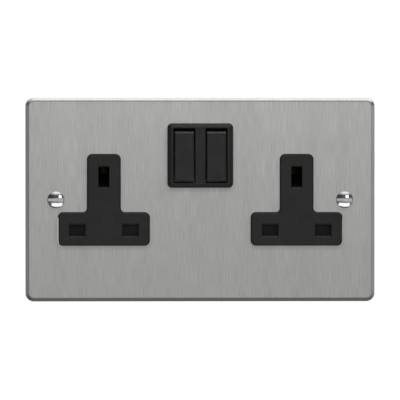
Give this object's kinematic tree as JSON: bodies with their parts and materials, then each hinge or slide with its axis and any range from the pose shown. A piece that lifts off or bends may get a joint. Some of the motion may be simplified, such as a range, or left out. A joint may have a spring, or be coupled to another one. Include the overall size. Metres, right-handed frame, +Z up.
{
  "type": "uk twin socket",
  "caption": "Twin UK three-pin wall socket with a rocker switch for each outlet, a brushed steel plate and black inserts.",
  "frame": {"origin": "midway between the two fixing screws, in the plane of the wall", "axes": "+X right as seen from the room, +Y into the wall, +Z up"},
  "size_m": [0.146, 0.0309, 0.085],
  "materials": {
    "brushed_plate": "vertical brushed grain",
    "black_moulding": "moulded satin black",
    "grey_cover": "moulded light grey",
    "black_rocker": "moulded satin black",
    "grey_shutter": "moulded dark grey",
    "chrome_screw": "polished",
    "zinc_screw": "zinc plated",
    "brass_screw": "turned brass",
    "brass_block": "sawn and drilled brass",
    "brass_strip": "stamped brass",
    "brass_clip": "folded brass",
    "tinned_strap": "tinned strip",
    "copper_contact": "bright copper",
    "silver_tip": "silver pad",
    "spring_steel": "drawn wire",
    "white_plunger": "moulded nylon"
  },
  "bodies": {
    "socket": {"front_plate": "brushed_plate", "front_moulding": "black_moulding", "rear_cover": "grey_cover", "neutral_bar": "brass_strip", "live_feed": "brass_strip", "earth_bar": "tinned_strap", "cover_screws": "zinc_screw", "fixing_screws": "chrome_screw", "shutter_spring_left": "spring_steel", "neutral_clip_left": "brass_clip", "live_clip_left": "brass_clip", "earth_clip_left": "brass_clip", "live_outlet_left": "brass_strip", "earth_strap_left": "tinned_strap", "fixed_tip_left": "silver_tip", "shutter_spring_right": "spring_steel", "neutral_clip_right": "brass_clip", "live_clip_right": "brass_clip", "earth_clip_right": "brass_clip", "live_outlet_right": "brass_strip", "earth_strap_right": "tinned_strap", "fixed_tip_right": "silver_tip", "terminal_neutral": "brass_block", "terminal_earth": "brass_block", "terminal_live": "brass_block"},
    "rocker_left": {"rocker_left": "black_rocker", "plunger_spring_left": "spring_steel"},
    "plunger_left": {"plunger_left": "white_plunger"},
    "rocking_contact_left": {"rocking_contact_left": "copper_contact", "moving_tip_left": "silver_tip"},
    "rocker_right": {"rocker_right": "black_rocker", "plunger_spring_right": "spring_steel"},
    "plunger_right": {"plunger_right": "white_plunger"},
    "rocking_contact_right": {"rocking_contact_right": "copper_contact", "moving_tip_right": "silver_tip"},
    "shutter_left": {"shutter_left": "grey_shutter"},
    "shutter_right": {"shutter_right": "grey_shutter"},
    "terminal_screw_neutral": {"terminal_screw_neutral": "brass_screw"},
    "terminal_screw_earth": {"terminal_screw_earth": "brass_screw"},
    "terminal_screw_live": {"terminal_screw_live": "brass_screw"}
  },
  "joints": [
    {"name": "rocker_hinge_left", "type": "hinge", "parent": "socket", "child": "rocker_left", "pos_m": [-0.0067, -0.005, 0.01845], "axis": [1, 0, 0], "range_deg": [0, 12]},
    {"name": "rocking_contact_hinge_left", "type": "hinge", "parent": "socket", "child": "rocking_contact_left", "pos_m": [-0.0067, 0.00956, 0.01845], "axis": [-1, 0, 0], "range_deg": [0, 18]},
    {"name": "plunger_slide_left", "type": "slide", "parent": "rocker_left", "child": "plunger_left", "axis": [0, -0.9945, 0.1045], "range_m": [0, 0.0008], "stiffness_N_per_m": 200, "springref_m": -0.004, "deforming": ["plunger_spring_left"]},
    {"name": "rocker_hinge_right", "type": "hinge", "parent": "socket", "child": "rocker_right", "pos_m": [0.0067, -0.005, 0.01845], "axis": [1, 0, 0], "range_deg": [0, 12]},
    {"name": "rocking_contact_hinge_right", "type": "hinge", "parent": "socket", "child": "rocking_contact_right", "pos_m": [0.0067, 0.00956, 0.01845], "axis": [-1, 0, 0], "range_deg": [0, 18]},
    {"name": "plunger_slide_right", "type": "slide", "parent": "rocker_right", "child": "plunger_right", "axis": [0, -0.9945, 0.1045], "range_m": [0, 0.0008], "stiffness_N_per_m": 200, "springref_m": -0.004, "deforming": ["plunger_spring_right"]},
    {"name": "shutter_slide_left", "type": "slide", "parent": "socket", "child": "shutter_left", "axis": [0, 0, -1], "range_m": [0, 0.0055], "stiffness_N_per_m": 100, "springref_m": -0.002, "deforming": ["shutter_spring_left"]},
    {"name": "shutter_slide_right", "type": "slide", "parent": "socket", "child": "shutter_right", "axis": [0, 0, -1], "range_m": [0, 0.0055], "stiffness_N_per_m": 100, "springref_m": -0.002, "deforming": ["shutter_spring_right"]},
    {"name": "terminal_screw_travel_neutral", "type": "slide", "parent": "socket", "child": "terminal_screw_neutral", "axis": [0, -1, 0], "range_m": [0, 0.0035]},
    {"name": "terminal_screw_travel_earth", "type": "slide", "parent": "socket", "child": "terminal_screw_earth", "axis": [0, -1, 0], "range_m": [0, 0.0035]},
    {"name": "terminal_screw_travel_live", "type": "slide", "parent": "socket", "child": "terminal_screw_live", "axis": [0, -1, 0], "range_m": [0, 0.0035]}
  ],
  "couplings": [
    {"joint": "rocking_contact_hinge_left", "follows": "rocker_hinge_left", "ratio": 1.5},
    {"joint": "rocking_contact_hinge_right", "follows": "rocker_hinge_right", "ratio": 1.5}
  ]
}
